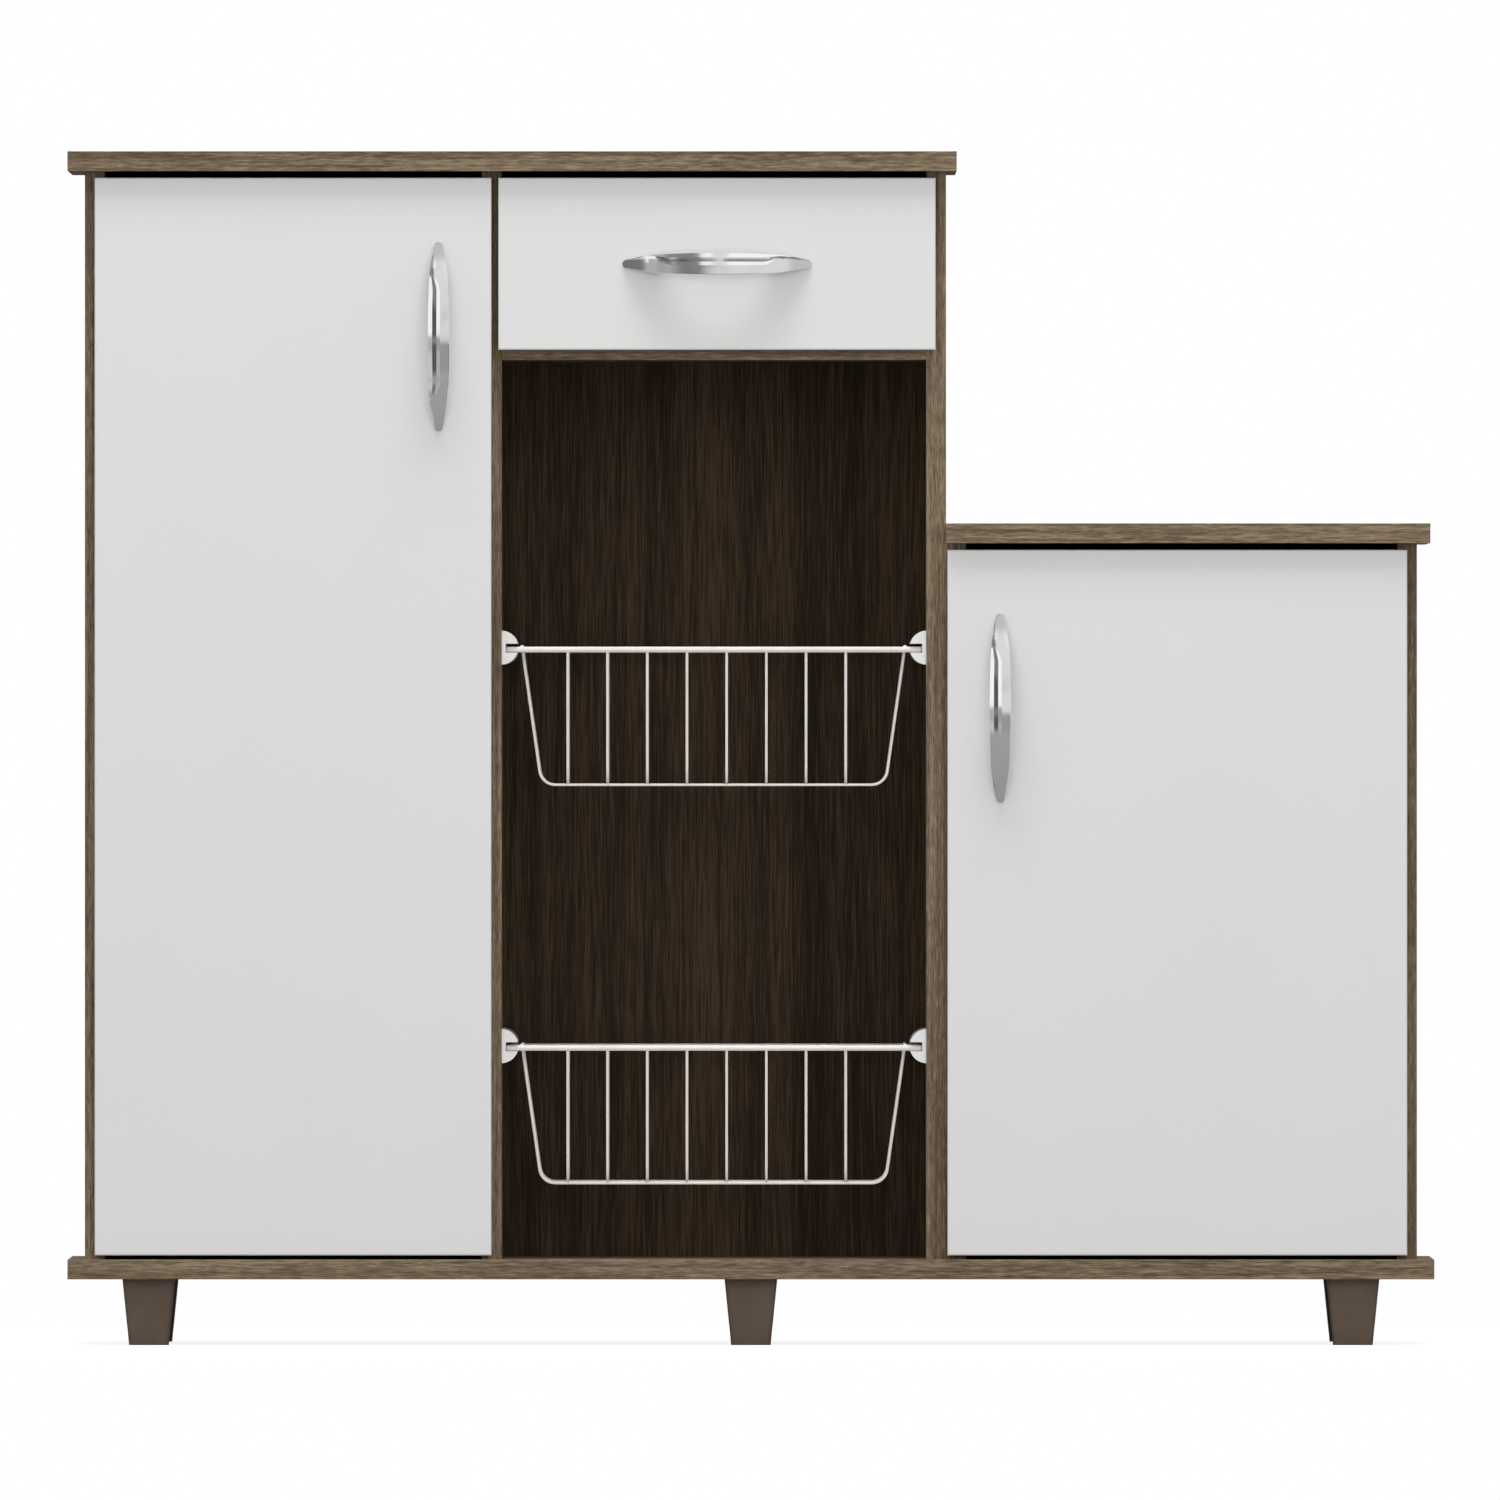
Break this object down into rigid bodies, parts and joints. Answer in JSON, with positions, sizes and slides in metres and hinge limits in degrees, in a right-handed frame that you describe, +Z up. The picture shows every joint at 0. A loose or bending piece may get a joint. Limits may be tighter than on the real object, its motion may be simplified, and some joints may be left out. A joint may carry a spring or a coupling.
{
  "type": "kitchen cabinet",
  "caption": "Fitted kitchen base unit: tall module with door, drawer and open bay with sliding wire baskets, beside a lower module with a door, on tapered feet.",
  "frame": {"origin": "on the floor, in the middle of the outline seen from above", "axes": "+X to the right of someone who faces the doors, +Y to the back, +Z up"},
  "size_m": [1.036, 0.4, 0.905],
  "materials": {
    "carcass_board": "grey-brown woodgrain laminate",
    "walnut_sheet": "dark walnut print",
    "white_front": "white satin laminate",
    "handle_chrome": "bright chrome plate",
    "foot_plastic": "brown moulded",
    "runner_plastic": "white extruded",
    "basket_wire": "white plastic-coated wire",
    "hinge_steel": "nickel-plated pressed steel",
    "fastener_steel": "zinc plated"
  },
  "bodies": {
    "carcass": {"bottom_board": "carcass_board", "centre_divider": "carcass_board", "drawer_runner_left": "runner_plastic", "drawer_runner_right": "runner_plastic", "drawer_shelf_board": "carcass_board", "foot_front_left": "foot_plastic", "foot_front_middle": "foot_plastic", "foot_front_right": "foot_plastic", "foot_rear_left": "foot_plastic", "foot_rear_middle": "foot_plastic", "foot_rear_right": "foot_plastic", "hinge_arm_screws": "fastener_steel", "left_hinge_arm_bottom": "hinge_steel", "left_hinge_arm_middle": "hinge_steel", "left_hinge_arm_top": "hinge_steel", "left_side_panel": "carcass_board", "low_back_sheet": "walnut_sheet", "low_left_panel": "carcass_board", "low_right_panel": "carcass_board", "low_shelf": "carcass_board", "low_top_board": "carcass_board", "lower_basket_runner_left": "runner_plastic", "lower_basket_runner_right": "runner_plastic", "lower_left_shelf": "carcass_board", "panel_screws": "fastener_steel", "right_hinge_arm_bottom": "hinge_steel", "right_hinge_arm_top": "hinge_steel", "shelf_pins": "fastener_steel", "tall_back_sheet": "walnut_sheet", "tall_right_panel": "carcass_board", "tall_top_board": "carcass_board", "upper_basket_runner_left": "runner_plastic", "upper_basket_runner_right": "runner_plastic", "upper_left_shelf": "carcass_board"},
    "left_door": {"left_door_handle": "handle_chrome", "left_door_handle_screws": "fastener_steel", "left_door_panel": "white_front", "left_hinge_cup_bottom": "hinge_steel", "left_hinge_cup_middle": "hinge_steel", "left_hinge_cup_screws": "fastener_steel", "left_hinge_cup_top": "hinge_steel", "left_hinge_pins": "fastener_steel"},
    "right_door": {"right_door_handle": "handle_chrome", "right_door_handle_screws": "fastener_steel", "right_door_panel": "white_front", "right_hinge_cup_bottom": "hinge_steel", "right_hinge_cup_screws": "fastener_steel", "right_hinge_cup_top": "hinge_steel", "right_hinge_pins": "fastener_steel"},
    "drawer": {"drawer_back": "carcass_board", "drawer_bottom": "carcass_board", "drawer_front": "white_front", "drawer_handle": "handle_chrome", "drawer_handle_screws": "fastener_steel", "drawer_left_side": "carcass_board", "drawer_right_side": "carcass_board"},
    "upper_basket": {"upper_basket_frame": "basket_wire", "upper_basket_wires": "basket_wire"},
    "lower_basket": {"lower_basket_frame": "basket_wire", "lower_basket_wires": "basket_wire"}
  },
  "joints": [
    {"name": "left_door_hinge", "type": "hinge", "parent": "carcass", "child": "left_door", "pos_m": [-0.4901, -0.1662, 0.4765], "axis": [0, 0, -1], "range_deg": [0, 100]},
    {"name": "right_door_hinge", "type": "hinge", "parent": "carcass", "child": "right_door", "pos_m": [0.4901, -0.1662, 0.3355], "axis": [0, 0, 1], "range_deg": [0, 100]},
    {"name": "drawer_slide", "type": "slide", "parent": "carcass", "child": "drawer", "axis": [0, -1, 0], "range_m": [0, 0.25]},
    {"name": "upper_basket_slide", "type": "slide", "parent": "carcass", "child": "upper_basket", "axis": [0, -1, 0], "range_m": [0, 0.22]},
    {"name": "lower_basket_slide", "type": "slide", "parent": "carcass", "child": "lower_basket", "axis": [0, -1, 0], "range_m": [0, 0.22]}
  ]
}
